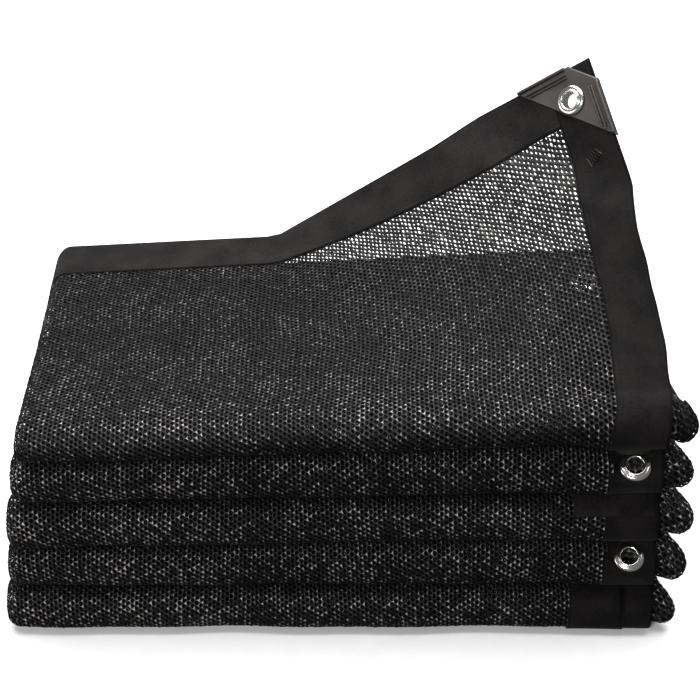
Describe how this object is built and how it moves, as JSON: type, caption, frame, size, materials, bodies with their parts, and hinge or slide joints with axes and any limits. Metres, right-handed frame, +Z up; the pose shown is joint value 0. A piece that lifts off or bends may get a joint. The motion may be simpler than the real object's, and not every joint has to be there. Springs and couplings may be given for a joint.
{
  "type": "folded shade cloth",
  "caption": "Knitted mesh shade cloth folded into rolls, with woven edge binding, metal eyelets and one lifted corner in a moulded protector.",
  "frame": {"origin": "middle of the base, on the surface that the stack lies on", "axes": "+X to the right along the rolls, +Y back from the front rolls, +Z up"},
  "size_m": [0.5008, 0.2432, 0.359],
  "materials": {
    "knitted_mesh": "knitted black polyethylene tape yarn with small open holes",
    "woven_tape": "matt black woven polyester tape",
    "moulded_plastic": "satin dark grey moulded plastic",
    "pressed_nickel": "bright nickel-plated pressed metal"
  },
  "bodies": {
    "root": {"mesh_roll_1": "knitted_mesh", "mesh_roll_2": "knitted_mesh", "mesh_roll_3": "knitted_mesh", "mesh_roll_4": "knitted_mesh", "mesh_roll_5": "knitted_mesh", "side_binding_upper": "woven_tape", "side_binding_under": "woven_tape", "end_binding_top": "woven_tape", "end_binding_bottom": "woven_tape", "corner_protector": "moulded_plastic", "eyelet_corner": "pressed_nickel", "eyelet_roll_2": "pressed_nickel", "eyelet_roll_4": "pressed_nickel", "eyelet_under": "pressed_nickel"}
  },
  "joints": []
}
